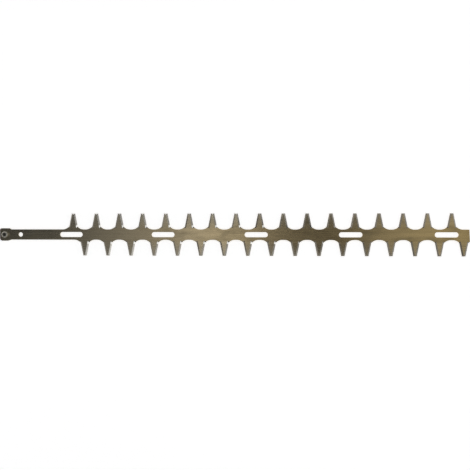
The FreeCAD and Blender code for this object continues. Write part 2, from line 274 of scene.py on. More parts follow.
class SteelFinish(bpy.types.PropertyGroup):
    """Colours and polish of the steel, with the painted light and shade of the bevels and the pin."""

    tang: colour("Tang", "Bare steel at the drive end", (0.50, 0.45, 0.34))
    middle: colour("Middle", "Bare steel half way along", (0.55, 0.44, 0.26))
    far_end: colour("Far end", "Straw-tinted steel at the far end", (0.545, 0.405, 0.18))
    rubbed: colour("Rubbed teeth", "Steel that cutting has rubbed clean at the tips", (0.57, 0.54, 0.45))
    film: colour("Film", "Dried oil film in patches", (0.30, 0.25, 0.15))
    # The bevels' two colours are painted light: the dark one is painted shade, the bright one painted
    # highlights and glints
    painted_shade_bevel: colour("Dull bevel", "Bevels that a worn wheel left dull", (0.16, 0.14, 0.105))
    painted_highlight_bevel: colour("Bright bevel", "Bevels that a fresh wheel left bright", (0.92, 0.91, 0.87))
    # How much painted light each kind of bevel gets: painted highlights on right flanks, painted glints on
    # scoops and upper tips, painted shade on left flanks and lower tips
    painted_light_right: factor("Right flanks", "How bright the flanks that face the far end are", 0.36)
    painted_shade_left: factor("Left flanks", "How bright the flanks that face the head are", 0.06)
    painted_glint_scoop: factor("Scoops", "How bright the rounded lower ends of the right flanks are", 1.0)
    painted_glint_upper_tip: factor("Upper tips", "How bright the tips of the upper row are", 0.8)
    painted_shade_lower_tip: factor("Lower tips", "How bright the tips of the lower row are", 0.04)
    # Painted light that is left on a bevel once its painted highlight has faded along the row
    painted_light_far_end: factor("Worn wheel", "Most that a bevel shines at the far end", 0.16)
    scoop: bpy.props.FloatVectorProperty(
        name="Scoop",
        description="Lean of the first and the last rounded flank ends",
        size=2,
        default=(0.175, -0.113),
    )
    polish: factor("Roughness", "Roughness of the ground faces", 0.23)
    scoop_polish: factor("Scoop roughness", "Roughness of the rounded lower ends of the right flanks", 0.10)
    turned: colour("Turned pin", "Turned steel of the pin", (0.50, 0.48, 0.42))
    turned_polish: factor("Pin roughness", "Roughness of the turned faces", 0.30)
    # Radius of the painted shade about the pin's centre mark, with painted light outside it
    painted_centre_shade: length("Grease", "Radius of the old grease about the pin's centre mark", 3.4 * MM)
    seed: bpy.props.IntProperty(name="Seed", description="Seed of the tooth to tooth differences", default=7)


class StageSettings(bpy.types.PropertyGroup):
    """Camera, floor and lamps."""

    eye: place("Eye", "Where the camera stands", (0.4282, 0.0186, 1.2))
    aim: place("Aim", "Point that the camera looks at", (0.3497, -0.0005, 0.0))
    focal_pixels: bpy.props.FloatProperty(
        name="Focal length", description="Focal length in pixels of the square image", default=803.3, min=1.0
    )
    floor: colour("Floor", "Pale floor", (0.90, 0.90, 0.90))
    floor_side: length("Floor side", "Side of the square floor", 12.0)
    floor_glow: brightness("Floor glow", "Light that comes up through the floor round the blade", 0.76)
    floor_fade: bpy.props.FloatVectorProperty(
        name="Floor fade",
        description="Distances between which the floor's glow becomes the backdrop's",
        size=2,
        default=(0.8, 2.6),
        unit="LENGTH",
    )
    backdrop: brightness("Backdrop", "Brightness of the surround's pale foot", 1.0)
    surround: brightness("Surround", "Brightness of the surround above its pale foot", 0.06)
    panel_head: power("Head panel", "Output of the overhead panel above the head", 0.13)
    panel_left: power("Left panel", "Output of the overhead panel left of the camera", 0.31)
    panel_right: power("Right panel", "Output of the overhead panel right of the camera", 0.375)
    soft_boxes: power("Soft boxes", "Output of each of the four large boxes round the blade", 1.6)
    back_panel: power("Back panel", "Output of the low panel behind the blade", 1.3)
    far_panel: power("Far panel", "Output of the low panel beyond the far end", 2.4)
    near_panel: power("Near panel", "Output of the low panel before the head", 1.4)


def socket_of(sockets, key):
    """A node's socket by its place, or the one in use by that name."""
    if isinstance(key, int):
        return sockets[key]
    return next(socket for socket in sockets if socket.enabled and socket.name == key)


def wire(tree, kind, inputs, **settings):
    """Add a node: its settings first, then each input linked to a socket or set to a value."""
    node = tree.nodes.new(kind)
    for name, value in settings.items():
        setattr(node, name, value)
    for key, value in inputs.items():
        socket = socket_of(node.inputs, key)
        if isinstance(value, bpy.types.NodeSocket):
            tree.links.new(value, socket)
        else:
            socket.default_value = value
    return node


def out(node, key=None):
    """A node's output by name, or its first one in use."""
    if key is None:
        return next(socket for socket in node.outputs if socket.enabled)
    return socket_of(node.outputs, key)


def reckon(tree, operation, *values):
    """A math node's result."""
    return out(wire(tree, "ShaderNodeMath", dict(enumerate(values)), operation=operation))


def vector_of(tree, **parts):
    """A vector of its X, Y and Z parts; a part that isn't given is none."""
    return out(wire(tree, "ShaderNodeCombineXYZ", parts))


def ranged(tree, value, low, high, to_low, to_high):
    """A value carried from one range to another, clamped at both ends."""
    inputs = {"Value": value, "From Min": low, "From Max": high, "To Min": to_low, "To Max": to_high}
    return out(wire(tree, "ShaderNodeMapRange", inputs))


def grain(tree, vector, scale, detail, roughness):
    """Noise over coordinates stretched by a scale, as a share."""
    stretched = wire(tree, "ShaderNodeMapping", {"Vector": vector, "Scale": scale})
    noise = {"Vector": out(stretched), "Scale": 1.0, "Detail": detail, "Roughness": roughness}
    return out(wire(tree, "ShaderNodeTexNoise", noise))


def attribute(tree, name):
    """A number that the mesh carries."""
    return out(wire(tree, "ShaderNodeAttribute", {}, attribute_name=name), "Fac")


def blend(tree, share, first, second, **settings):
    """Two numbers blended by a share, or two colours or vectors if the settings say so."""
    return out(wire(tree, "ShaderNodeMix", {"Factor": share, "A": first, "B": second}, **settings))


def blend_colour(tree, share, first, second):
    """Two colours blended by a share."""
    return blend(tree, share, first, second, data_type="RGBA")


def shaded(tree, plain_colour, shade):
    """A colour made darker or lighter by a shade."""
    grey = vector_of(tree, X=shade, Y=shade, Z=shade)
    return blend(tree, 1.0, plain_colour, grey, data_type="RGBA", blend_type="MULTIPLY")


def tinted(tree, share, stops):
    """A colour from a ramp through stops, each with its place and colour."""
    ramp = wire(tree, "ShaderNodeValToRGB", {"Fac": share})
    elements = ramp.color_ramp.elements
    elements.remove(elements[-1])
    for number, (position, tint) in enumerate(stops):
        stop = elements.new(position) if number else elements[0]
        stop.position = position
        stop.color = (*tint, 1.0)
    return out(ramp)


def new_steel(name):
    """A bare metal material: its tree, shader and object coordinates."""
    material = bpy.data.materials.new(name)
    material.use_nodes = True
    tree = material.node_tree
    shader = tree.nodes["Principled BSDF"]
    shader.inputs["Metallic"].default_value = 1.0
    coordinates = out(wire(tree, "ShaderNodeTexCoord", {}), "Object")
    return material, tree, shader, coordinates


def flat_colour(tree, finish, sizes, axes, fine, streak, patch):
    """Colour of the flats: a tint along the bar, oil film, teeth rubbed clean and grinding streaks."""
    run = ranged(tree, out(axes, "X"), 0.0, sizes.first_tooth + sizes.cutting_length, 0.0, 1.0)
    tint = tinted(tree, run, zip(TINT_STOPS, (finish.tang, finish.middle, finish.far_end)))
    filmed = blend_colour(tree, ranged(tree, patch, *FILM_SHARE), tint, (*finish.film, 1.0))
    edge = sizes.bar_width / 2
    reach = reckon(tree, "ABSOLUTE", out(axes, "Y"))
    along_tooth = ranged(tree, reach, edge, edge + sizes.tooth_length, 0.0, 1.0)
    rubbed = reckon(tree, "MULTIPLY", along_tooth, ranged(tree, run, *RUBBED_SHARE))
    cleaned = blend_colour(tree, rubbed, filmed, (*finish.rubbed, 1.0))
    shade = reckon(tree, "MULTIPLY", ranged(tree, streak, *STREAK_SHADE), ranged(tree, fine, *FINE_SHADE))
    return shaded(tree, cleaned, shade)


def bevel_shine(tree, finish, toothed):
    """Painted light and shade of each bevel, and where it is a scoop; the painted highlights fade along the
    row.
    """
    given = attribute(tree, "bevel_shine")
    # Each bevel keeps its painted highlight over a share of the row, then fades to the far end's painted
    # light
    kept = reckon(tree, "MULTIPLY_ADD", given, *PAINTED_HIGHLIGHT_KEPT)
    painted_highlight_share = ranged(tree, reckon(tree, "SUBTRACT", toothed, kept), *PAINTED_HIGHLIGHT_LOSS)
    extra = reckon(tree, "MAXIMUM", reckon(tree, "SUBTRACT", given, finish.painted_light_far_end), 0.0)
    lasting = reckon(tree, "MINIMUM", given, finish.painted_light_far_end)
    painted_bevel_light = reckon(tree, "MULTIPLY_ADD", extra, painted_highlight_share, lasting)
    scooped = reckon(tree, "MULTIPLY", reckon(tree, "GREATER_THAN", given, SCOOPED), painted_highlight_share)
    return painted_bevel_light, scooped


def bevel_colour(tree, finish, painted_bevel_light, cross):
    """Colour of the bevels: painted shade to painted highlight, with a tone of its own for each tooth and
    marks of the wheel.
    """
    bevel = blend_colour(tree, painted_bevel_light, (*finish.painted_shade_bevel, 1.0), (*finish.painted_highlight_bevel, 1.0))
    tone = ranged(tree, attribute(tree, "tooth_tone"), *TOOTH_SHADE)
    return shaded(tree, bevel, reckon(tree, "MULTIPLY", tone, ranged(tree, cross, *WHEEL_SHADE)))


def scooped_normal(tree, finish, toothed, scooped):
    """The way a face looks, turned up where the wheel rounded the end of a flank."""
    facing = out(wire(tree, "ShaderNodeNewGeometry", {}), "Normal")
    lean = ranged(tree, toothed, 0.0, SCOOP_REACH, *finish.scoop)
    return blend(tree, scooped, facing, vector_of(tree, X=lean, Z=1.0), data_type="VECTOR")


def ground_steel(finish, sizes):
    """Ground blade steel: lengthwise grain on the flats, and cross marks with painted light and shade on the
    bevels.
    """
    material, tree, shader, coordinates = new_steel("ground_steel")
    axes = wire(tree, "ShaderNodeSeparateXYZ", {"Vector": coordinates})
    row_start = sizes.first_tooth
    toothed = ranged(tree, out(axes, "X"), row_start, row_start + sizes.cutting_length, 0.0, 1.0)
    grind_map = out(wire(tree, "ShaderNodeUVMap", {}, uv_map="grind"))
    fine = grain(tree, coordinates, *FINE_LINES)
    streak = grain(tree, coordinates, *STREAKS)
    patch = grain(tree, coordinates, *OIL_PATCHES)
    cross = grain(tree, grind_map, *WHEEL_MARKS)
    ground = attribute(tree, "bevel_ground")
    painted_bevel_light, scooped = bevel_shine(tree, finish, toothed)

    flat = flat_colour(tree, finish, sizes, axes, fine, streak, patch)
    bevel = bevel_colour(tree, finish, painted_bevel_light, cross)
    # The bevels' colour carries painted light and shade
    tree.links.new(blend_colour(tree, ground, flat, bevel), shader.inputs["Base Color"])

    filmed = ranged(tree, patch, *FILM_ROUGHNESS)
    flat_rough = reckon(tree, "ADD", ranged(tree, fine, *FINE_ROUGHNESS), filmed)
    uneven = blend(tree, ground, flat_rough, ranged(tree, cross, *WHEEL_ROUGHNESS))
    rough = blend(tree, scooped, reckon(tree, "ADD", uneven, finish.polish), finish.scoop_polish)
    tree.links.new(rough, shader.inputs["Roughness"])

    facing = scooped_normal(tree, finish, toothed, scooped)
    marks = {"Height": blend(tree, ground, fine, cross), "Normal": facing, **BLADE_RELIEF}
    tree.links.new(out(wire(tree, "ShaderNodeBump", marks)), shader.inputs["Normal"])
    return material


def turned_steel(finish):
    """Turned pin steel: rings from the lathe tool on the faces and round the journal, with painted shade
    about the centre mark and painted light outside it.
    """
    material, tree, shader, coordinates = new_steel("turned_steel")
    axes = wire(tree, "ShaderNodeSeparateXYZ", {"Vector": coordinates})
    across = vector_of(tree, X=out(axes, "X"), Y=out(axes, "Y"))
    reach = out(wire(tree, "ShaderNodeVectorMath", {0: across}, operation="LENGTH"), "Value")
    rings = grain(tree, vector_of(tree, X=reach, Y=out(axes, "Z")), *LATHE_RINGS)
    wear = grain(tree, coordinates, *PIN_WEAR)
    used = reckon(tree, "MULTIPLY", ranged(tree, rings, *RING_SHADE), ranged(tree, wear, *WEAR_SHADE))
    # Painted shade about the centre mark, and painted light on the rest of the face and round the journal
    painted_shade_and_ring_light = ranged(tree, reach, finish.painted_centre_shade / 2, finish.painted_centre_shade, *PAINTED_CENTRE_SHADE_RING_LIGHT)
    steel = shaded(tree, (*finish.turned, 1.0), reckon(tree, "MULTIPLY", used, painted_shade_and_ring_light))
    tree.links.new(steel, shader.inputs["Base Color"])
    rough = reckon(tree, "ADD", ranged(tree, rings, *RING_ROUGHNESS), finish.turned_polish)
    tree.links.new(rough, shader.inputs["Roughness"])
    bump = wire(tree, "ShaderNodeBump", {"Height": rings, **PIN_RELIEF})
    tree.links.new(out(bump), shader.inputs["Normal"])
    return material


def arc(middle, radius, start, sweep, steps):
    """Points along an arc, both ends included."""
    turns = [start + sweep * step / steps for step in range(steps + 1)]
    return [middle + radius * Vector((math.cos(turn), math.sin(turn))) for turn in turns]


def rounded_path(corners, steps=CORNER_STEPS):
    """A path through corners, each with a radius; a radius of none leaves the corner sharp."""
    path = []
    for index, (corner, radius) in enumerate(corners):
        if not radius:
            path.append(corner)
            continue
        back = (corners[index - 1][0] - corner).normalized()
        ahead = (corners[(index + 1) % len(corners)][0] - corner).normalized()
        half = back.angle(ahead) / 2
        middle = corner + (back + ahead).normalized() * radius / math.sin(half)
        first = corner + back * radius / math.tan(half) - middle
        last = corner + ahead * radius / math.tan(half) - middle
        start = math.atan2(first.y, first.x)
        sweep = math.remainder(math.atan2(last.y, last.x) - start, math.tau)
        path += arc(middle, radius, start, sweep, steps)
    return path


def half_tooth(sizes, flank_bevel, tip_bevel, runout):
    """Stations along the right half of a tooth, from its tip to the middle of the next gullet.

    A station is the wall's foot, the height where its upright part ends, and the top of its bevel.
    """
    half_pitch = sizes.cutting_length / sizes.teeth / 2
    edge = sizes.bar_width / 2
    land = sizes.edge_land
    radius = sizes.gullet_radius
    middle = Vector((half_pitch - sizes.gullet_flat / 2, edge + radius))
    swing = math.acos(1 - sizes.root_height / radius)

    def on_round(turn):
        return middle - radius * Vector((math.sin(turn), math.cos(turn)))

    tip = Vector((sizes.tip_width / 2, edge + sizes.tooth_length))
    root = on_round(swing)
    along = (tip - root).normalized()
    outward = Vector((along.y, -along.x))
    # The run-out ends where the round lies that far below the root, measured along the flank
    lean = math.atan2(along.x, along.y)
    stop = lean + math.acos(math.cos(swing - lean) + runout / radius)
    climb = (tip.y - tip_bevel - root.y + flank_bevel * outward.y) / along.y
    crest = root + along * climb - outward * flank_bevel
    heel = root - along * runout - outward * flank_bevel
    toe = on_round(stop)
    scoop = root + along * sizes.painted_glint_root
    # The first station bounds a tip's painted glint, the third a flank's painted glint at its lower end
    stations = [
        (Vector((sizes.painted_glint_tip, tip.y)), land, Vector((sizes.painted_glint_tip / 2, crest.y))),
        (tip, land, crest),
        (scoop, land, scoop - outward * flank_bevel),
        (root, land, heel),
    ]
    for step in range(1, RUNOUT_STEPS):
        foot = on_round(swing + (stop - swing) * step / RUNOUT_STEPS)
        share = (root - foot).dot(along) / runout
        rise = land + share * (sizes.thickness - land)
        stations.append((foot, rise, heel.lerp(toe, share)))
    rounds = [on_round(stop * (1 - step / GULLET_STEPS)) for step in range(1, GULLET_STEPS + 1)]
    return stations + plain([toe, *rounds, Vector((half_pitch, edge))], sizes.thickness)


def mirrored(stations):
    """The same stations on the tooth's other half, in the order that goes on to the right."""
    flip = Vector((-1.0, 1.0))
    return [(foot * flip, rise, top * flip) for foot, rise, top in reversed(stations)]


def plain(points, thickness):
    """Stations of an upright wall."""
    return [(point, thickness, point) for point in points]


def lifted(point, height):
    """A point of the plan at a height over the mating face."""
    return Vector((point.x, point.y, height))


def profiles_of(stations, thickness):
    """Each station as a row of points from the mating face to the outer face."""
    return [(lifted(foot, 0.0), lifted(foot, rise), lifted(top, thickness)) for foot, rise, top in stations]


class WallBuilder:
    """Walls of the blade as loose strips, with a map along the grinding, and each bevel's mark and painted
    light or shade.
    """

    def __init__(self):
        self.bm = bmesh.new()
        self.map = self.bm.loops.layers.uv.new("grind")
        self.mark = self.bm.faces.layers.float.new("bevel_ground")
        # Each bevel face carries how much painted light or shade its colour gets
        self.painted_bevel_light = self.bm.faces.layers.float.new("bevel_shine")

    def add(self, profiles, closed=False, shines=()):
        """Join neighbouring profiles into faces that point to the left of the way they are given in.

        Where the wall is ground, shines gives each pair of profiles the painted light or shade of its bevel.
        """
        follow = profiles[1:] + profiles[:1] if closed else profiles[1:]
        run = 0.0
        for index, (here, there) in enumerate(zip(profiles, follow)):
            ahead = run + (there[1] - here[1]).length
            for level in range(len(here) - 1):
                corners = (here[level], here[level + 1], there[level + 1], there[level])
                rise = (corners[0] - corners[1]).length
                if max(rise, (corners[3] - corners[2]).length) < WELD:
                    continue
                face = self.bm.faces.new([self.bm.verts.new(corner) for corner in corners])
                if shines and level > 0:
                    face[self.mark] = 1.0
                    face[self.painted_bevel_light] = shines[index]
                spots = ((run, 0.0), (run, rise), (ahead, rise), (ahead, 0.0))
                for loop, spot in zip(face.loops, spots):
                    loop[self.map].uv = spot
            run = ahead

    def add_plain(self, points, thickness, closed=False):
        """Join points into an upright wall."""
        self.add(profiles_of(plain(points, thickness), thickness), closed)

    def finish(self, name):
        """The strips as one object, welded."""
        bmesh.ops.remove_doubles(self.bm, verts=self.bm.verts, dist=WELD)
        mesh = bpy.data.meshes.new(name)
        self.bm.to_mesh(mesh)
        self.bm.free()
        return bpy.data.objects.new(name, mesh)


def tooth_painted_lights(half, finish, upper):
    """The painted light or shade of each bevel of a tooth, from the gullet on its left to that on its right.

    From the tip down, the bevels of half a tooth are the rest of the tip, the flank, the flank's rounded
    lower end and the run-out.
    """
    # Flanks facing the head and lower tips get painted shade; flanks facing the far end get painted
    # highlights, with painted glints on their lower ends and on upper tips
    dull = [finish.painted_shade_left] * (len(half) - 1)
    bright = dull[:1] + [finish.painted_light_right, finish.painted_glint_scoop] + dull[3:]
    if upper:
        return dull + [finish.painted_glint_upper_tip] + bright
    return bright[::-1] + [finish.painted_shade_lower_tip] + dull


def tooth_variants(name, sizes, finish, upper):
    """A collection of tooth walls that differ a little, as hand grinding leaves them."""
    teeth = bpy.data.collections.new(name)
    for number, (flank, tip, runout) in enumerate(GRINDINGS):
        half = half_tooth(
            sizes,
            sizes.flank_bevel * (1 + sizes.hand_grinding * flank),
            sizes.tip_bevel * (1 + sizes.hand_grinding * tip),
            sizes.runout * (1 + sizes.hand_grinding * runout),
        )
        profiles = profiles_of(mirrored(half) + half, sizes.thickness)
        walls = WallBuilder()
        walls.add(profiles, shines=tooth_painted_lights(half, finish, upper))
        teeth.objects.link(walls.finish(f"{name}_{number}"))
    return teeth


def slot_walls(sizes):
    """The wall of one guide slot about its own middle."""
    run = Vector((sizes.slot_length / 2 - sizes.slot_radius, 0.0))
    points = arc(run, sizes.slot_radius, -math.pi / 2, math.pi, SLOT_END_STEPS)
    points += arc(-run, sizes.slot_radius, math.pi / 2, math.pi, SLOT_END_STEPS)
    walls = WallBuilder()
    walls.add_plain(points, sizes.thickness, closed=True)
    return walls.finish("slot_walls")


def add_tang(walls, sizes):
    """The outline of tang and head, from the lower row of teeth round to the upper one."""
    edge = sizes.bar_width / 2
    head = sizes.head_height / 2
    blend_radius = sizes.shoulder_radius
    upper_start = sizes.first_tooth - sizes.cutting_length / sizes.teeth / 2
    corners = (
        (sizes.first_tooth, -edge, 0.0),
        (sizes.shoulder_lower + sizes.shoulder_run_lower, -edge, blend_radius),
        (sizes.shoulder_lower, -head, blend_radius),
        (-sizes.head_nose, -head, sizes.nose_radius_lower),
        (-sizes.head_nose, head, sizes.nose_radius_upper),
        (sizes.shoulder_upper, head, blend_radius),
        (sizes.shoulder_upper + sizes.shoulder_run_upper, edge, blend_radius),
        (upper_start, edge, 0.0),
    )
    walls.add_plain(rounded_path([(Vector((x, y)), radius) for x, y, radius in corners]), sizes.thickness)


def add_round_holes(walls, sizes):
    """The tang hole, and the pin's eye with its countersink in the mating face."""
    middle = Vector((sizes.tang_hole_reach, 0.0))
    hole = arc(middle, sizes.tang_hole_radius, 0.0, math.tau, TANG_HOLE_STEPS)[:-1]
    walls.add_plain(hole, sizes.thickness, closed=True)
    eye = arc(Vector((0.0, 0.0)), sizes.eye_radius, 0.0, math.tau, EYE_STEPS)[:-1]
    mouth = 1 + sizes.countersink / sizes.eye_radius
    levels = ((mouth, 0.0), (1.0, sizes.countersink), (1.0, sizes.thickness))
    walls.add([tuple(lifted(spot * size, height) for size, height in levels) for spot in eye], closed=True)


def add_last_tooth(walls, sizes, finish):
    """The last lower tooth, cut by the sheared end of the bar."""
    thickness = sizes.thickness
    edge = sizes.bar_width / 2
    half = half_tooth(sizes, sizes.flank_bevel, sizes.tip_bevel, sizes.runout)

    def past_end(point):
        return point.x + sizes.end_reach - sizes.end_skew * (edge - point.y) / sizes.bar_width

    left = mirrored(half)
    first = next(index for index, station in enumerate(left) if past_end(station[0]) > 0)
    before = left[first - 1][0]
    after = left[first][0]
    share = past_end(before) / (past_end(before) - past_end(after))
    far_corner = Vector((sizes.end_skew - sizes.end_reach, -edge))
    sheared = [Vector((0.0, -edge)), far_corner, before.lerp(after, share)]
    stations = plain(sheared, thickness) + left[first:] + half
    # The painted light or shade of the last tooth's bevels, as on the other lower teeth
    shines = [finish.painted_shade_left] * len(sheared) + tooth_painted_lights(half, finish, upper=False)[first:]

    pitch = sizes.cutting_length / sizes.teeth
    last_tooth = Vector((sizes.first_tooth + (sizes.teeth - 0.5) * pitch, 0.0, 0.0))
    turned = Matrix.Translation(last_tooth) @ Matrix.Rotation(math.pi, 4, "Z")
    profiles = [tuple(turned @ point for point in row) for row in profiles_of(stations, thickness)]
    walls.add(profiles, shines=shines)


def bar_walls(sizes, finish):
    """The walls that occur once: tang and head, tang hole, pin eye, and the last lower tooth."""
    walls = WallBuilder()
    add_tang(walls, sizes)
    add_round_holes(walls, sizes)
    add_last_tooth(walls, sizes, finish)
    return walls.finish("bar_walls")


def row_of(tree, copies, start, offset, inputs, turn=0.0):
    """Instances along the bar, from a start at an offset."""
    points = {
        "Count": copies,
        "Start Location": vector_of(tree, X=start),
        "Offset": vector_of(tree, X=offset),
    }
    line = wire(tree, "GeometryNodeMeshLine", points)
    placed = {"Points": out(line), "Rotation": (0.0, 0.0, turn), **inputs}
    return out(wire(tree, "GeometryNodeInstanceOnPoints", placed))


def random_of(tree, kind, low, high, seed):
    """A random value for each point of a row."""
    number = out(wire(tree, "GeometryNodeInputIndex", {}))
    inputs = {"Min": low, "Max": high, "ID": number, "Seed": seed}
    return out(wire(tree, "FunctionNodeRandomValue", inputs, data_type=kind))


def tooth_row(tree, teeth, copies, start, offset, turn, seed):
    """A row of teeth, each a grinding drawn by lot, with a tone of its own."""
    variants = wire(tree, "GeometryNodeCollectionInfo", {"Collection": teeth, "Separate Children": True})
    picked = {
        "Instance": out(variants),
        "Pick Instance": True,
        "Instance Index": random_of(tree, "INT", 0, len(GRINDINGS) - 1, seed),
    }
    row = row_of(tree, copies, start, offset, picked, turn)
    tone = {"Geometry": row, "Name": "tooth_tone", "Value": random_of(tree, "FLOAT", 0.0, 1.0, seed)}
    return out(wire(tree, "GeometryNodeStoreNamedAttribute", tone, data_type="FLOAT", domain="INSTANCE"))


def joined(tree, pieces):
    """Pieces of geometry as one."""
    whole = wire(tree, "GeometryNodeJoinGeometry", {})
    for piece in pieces:
        tree.links.new(piece, whole.inputs[0])
    return out(whole)


def sheet_face(tree, walls, thickness, outer):
    """The outer or the mating face of the sheet, filled between the open rims of the walls."""
    sides = out(wire(tree, "GeometryNodeInputMeshEdgeNeighbors", {}))
    rim = out(wire(tree, "FunctionNodeCompare", {"A": sides, "B": 1}, data_type="INT", operation="EQUAL"))
    position = out(wire(tree, "GeometryNodeInputPosition", {}))
    height = out(wire(tree, "ShaderNodeSeparateXYZ", {"Vector": position}), "Z")
    middle = reckon(tree, "MULTIPLY", thickness, 0.5)
    side = {"A": height, "B": middle}
    beyond = out(wire(tree, "FunctionNodeCompare", side, operation="GREATER_THAN" if outer else "LESS_THAN"))
    chosen = out(wire(tree, "FunctionNodeBooleanMath", {0: rim, 1: beyond}, operation="AND"))
    loops = out(wire(tree, "GeometryNodeMeshToCurve", {"Mesh": walls, "Selection": chosen}))
    face = out(wire(tree, "GeometryNodeFillCurve", {"Curve": loops}, mode="NGONS"))
    if not outer:
        face = out(wire(tree, "GeometryNodeFlipFaces", {"Mesh": face}))
    lift = vector_of(tree, Z=thickness if outer else 0.0)
    return out(wire(tree, "GeometryNodeTransform", {"Geometry": face, "Translation": lift}))


def blade_tree():
    """Nodes that repeat the tooth and slot walls along the bar, weld them, and close the sheet's faces."""
    tree = bpy.data.node_groups.new("toothed_bar", "GeometryNodeTree")
    sockets = (
        ("Upper Teeth", "NodeSocketCollection"),
        ("Lower Teeth", "NodeSocketCollection"),
        ("Slot", "NodeSocketObject"),
        ("Bar", "NodeSocketObject"),
        ("Teeth A Side", "NodeSocketInt"),
        ("First Tooth", "NodeSocketFloat"),
        ("Tooth Pitch", "NodeSocketFloat"),
        ("Slots", "NodeSocketInt"),
        ("First Slot", "NodeSocketFloat"),
        ("Slot Pitch", "NodeSocketFloat"),
        ("Thickness", "NodeSocketFloat"),
        ("Seed", "NodeSocketInt"),
        ("Steel", "NodeSocketMaterial"),
    )
    for name, kind in sockets:
        tree.interface.new_socket(name, in_out="INPUT", socket_type=kind)
    tree.interface.new_socket("Blade", in_out="OUTPUT", socket_type="NodeSocketGeometry")
    given = wire(tree, "NodeGroupInput", {}).outputs

    teeth = given["Teeth A Side"]
    pitch = given["Tooth Pitch"]
    upper_start = given["First Tooth"]
    lower_start = reckon(tree, "MULTIPLY_ADD", pitch, 0.5, upper_start)
    all_but_last = reckon(tree, "SUBTRACT", teeth, 1.0)
    lower_seed = reckon(tree, "ADD", given["Seed"], LOWER_SEED)
    slot = {"Instance": out(wire(tree, "GeometryNodeObjectInfo", {"Object": given["Slot"]}), "Geometry")}
    bar = wire(tree, "GeometryNodeObjectInfo", {"Object": given["Bar"]})
    rows = (
        tooth_row(tree, given["Upper Teeth"], teeth, upper_start, pitch, 0.0, given["Seed"]),
        tooth_row(tree, given["Lower Teeth"], all_but_last, lower_start, pitch, math.pi, lower_seed),
        row_of(tree, given["Slots"], given["First Slot"], given["Slot Pitch"], slot),
        out(bar, "Geometry"),
    )
    loose = wire(tree, "GeometryNodeRealizeInstances", {"Geometry": joined(tree, rows)})
    walls = out(wire(tree, "GeometryNodeMergeByDistance", {"Geometry": out(loose), "Distance": WELD}))

    faces = [sheet_face(tree, walls, given["Thickness"], outer) for outer in (True, False)]
    sheet = joined(tree, (walls, *faces))
    welded = wire(tree, "GeometryNodeMergeByDistance", {"Geometry": sheet, "Distance": WELD})
    solid = wire(tree, "GeometryNodeRealizeInstances", {"Geometry": out(welded)})
    steel = wire(tree, "GeometryNodeSetMaterial", {"Geometry": out(solid), "Material": given["Steel"]})
    wire(tree, "NodeGroupOutput", {0: out(steel)})
    return tree


def set_inputs(modifier, tree, values):
    """Set a nodes modifier's inputs, each by its socket's identifier."""
    identifiers = {
        item.name: item.identifier
        for item in tree.interface.items_tree
        if item.item_type == "SOCKET" and item.in_out == "INPUT"
    }
    for name, value in values.items():
        modifier[identifiers[name]] = value


def evaluated_mesh(carrier, name):
    """The carrier's finished shape as a plain mesh."""
    bpy.context.view_layer.update()
    graph = bpy.context.evaluated_depsgraph_get()
    mesh = bpy.data.meshes.new_from_object(
        carrier.evaluated_get(graph), preserve_all_data_layers=True, depsgraph=graph
    )
    mesh.name = name
    return mesh


def check_closed(mesh):
    """Turn the faces outwards, and stop if the shape isn't closed."""
    bm = bmesh.new()
    bm.from_mesh(mesh)
    bmesh.ops.recalc_face_normals(bm, faces=bm.faces)
    gaps = sum(1 for edge in bm.edges if not edge.is_manifold)
    bm.to_mesh(mesh)
    bm.free()
    if gaps:
        raise RuntimeError(f"{mesh.name} is open along {gaps} edges")


def stand_for(node, mesh):
    """Show a finished mesh in place of a node of the frame."""
    piece = bpy.data.objects.new(mesh.name, mesh)
    bpy.context.scene.collection.objects.link(piece)
    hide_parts(node)
    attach(piece, "root")


class HEDGEBLADE_OT_ground_blade(bpy.types.Operator):
    """Make the toothed bar: teeth along both edges, guide slots, tang hole, head and ground bevels"""

    bl_idname = "hedgeblade.ground_blade"
    bl_label = "Ground blade"

    def execute(self, context):
        sizes = context.scene.blade_sizes
        finish = context.scene.steel_finish
        upper = tooth_variants("upper_tooth", sizes, finish, upper=True)
        lower = tooth_variants("lower_tooth", sizes, finish, upper=False)
        slot = slot_walls(sizes)
        bar = bar_walls(sizes, finish)
        tree = blade_tree()
        carrier = bpy.data.objects.new("blade_carrier", bpy.data.meshes.new("blade_carrier"))
        context.scene.collection.objects.link(carrier)
        nodes = carrier.modifiers.new("toothed_bar", "NODES")
        nodes.node_group = tree
        given = {
            "Upper Teeth": upper,
            "Lower Teeth": lower,
            "Slot": slot,
            "Bar": bar,
            "Teeth A Side": sizes.teeth,
            "First Tooth": sizes.first_tooth,
            "Tooth Pitch": sizes.cutting_length / sizes.teeth,
            "Slots": sizes.slots,
            "First Slot": sizes.first_slot,
            "Slot Pitch": sizes.slot_pitch,
            "Thickness": sizes.thickness,
            "Seed": finish.seed,
            "Steel": ground_steel(finish, sizes),
        }
        set_inputs(nodes, tree, given)
        rounding = carrier.modifiers.new("deburred_edges", "BEVEL")
        rounding.width = sizes.deburr
        rounding.segments = 2
        rounding.use_clamp_overlap = False
        rounding.limit_method = "ANGLE"
        rounding.angle_limit = DEBURRED_ANGLE
        mesh = evaluated_mesh(carrier, "ground_blade")
        for helper in (carrier, *upper.objects, *lower.objects, slot, bar):
            bpy.data.objects.remove(helper)
        for helper in (upper, lower):
            bpy.data.collections.remove(helper)
        check_closed(mesh)
        stand_for("blade", mesh)
        return {"FINISHED"}


